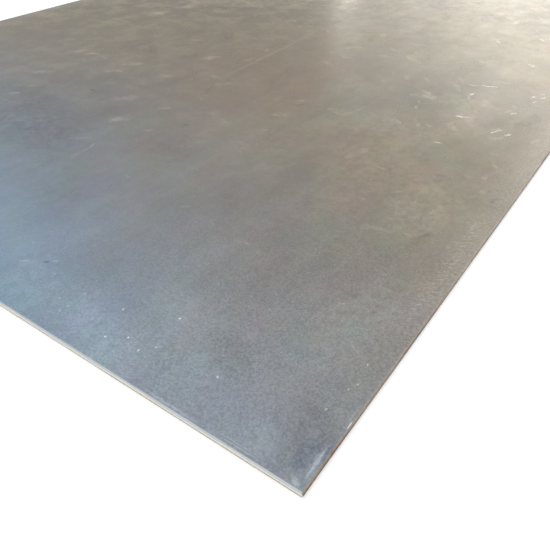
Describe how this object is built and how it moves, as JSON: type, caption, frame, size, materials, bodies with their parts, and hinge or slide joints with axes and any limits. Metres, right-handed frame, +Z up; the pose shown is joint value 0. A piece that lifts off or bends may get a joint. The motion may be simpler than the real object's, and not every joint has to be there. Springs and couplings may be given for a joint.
{
  "type": "steel plate",
  "caption": "Flat hot-rolled steel plate, one piece of raw stock with rounded mill edges on its long sides and sheared short ends.",
  "frame": {"origin": "centre of the underside, on the surface that the plate lies on", "axes": "+X along the rolling direction and the length, +Y across the width, +Z up through the thickness"},
  "size_m": [6, 1.5, 0.006],
  "materials": {
    "hot_rolled_steel": "satin mill scale, blue-grey to warm grey, with bright metal at the sheared ends and light rust on the mill edges"
  },
  "bodies": {
    "root": {"steel_plate": "hot_rolled_steel"}
  },
  "joints": []
}
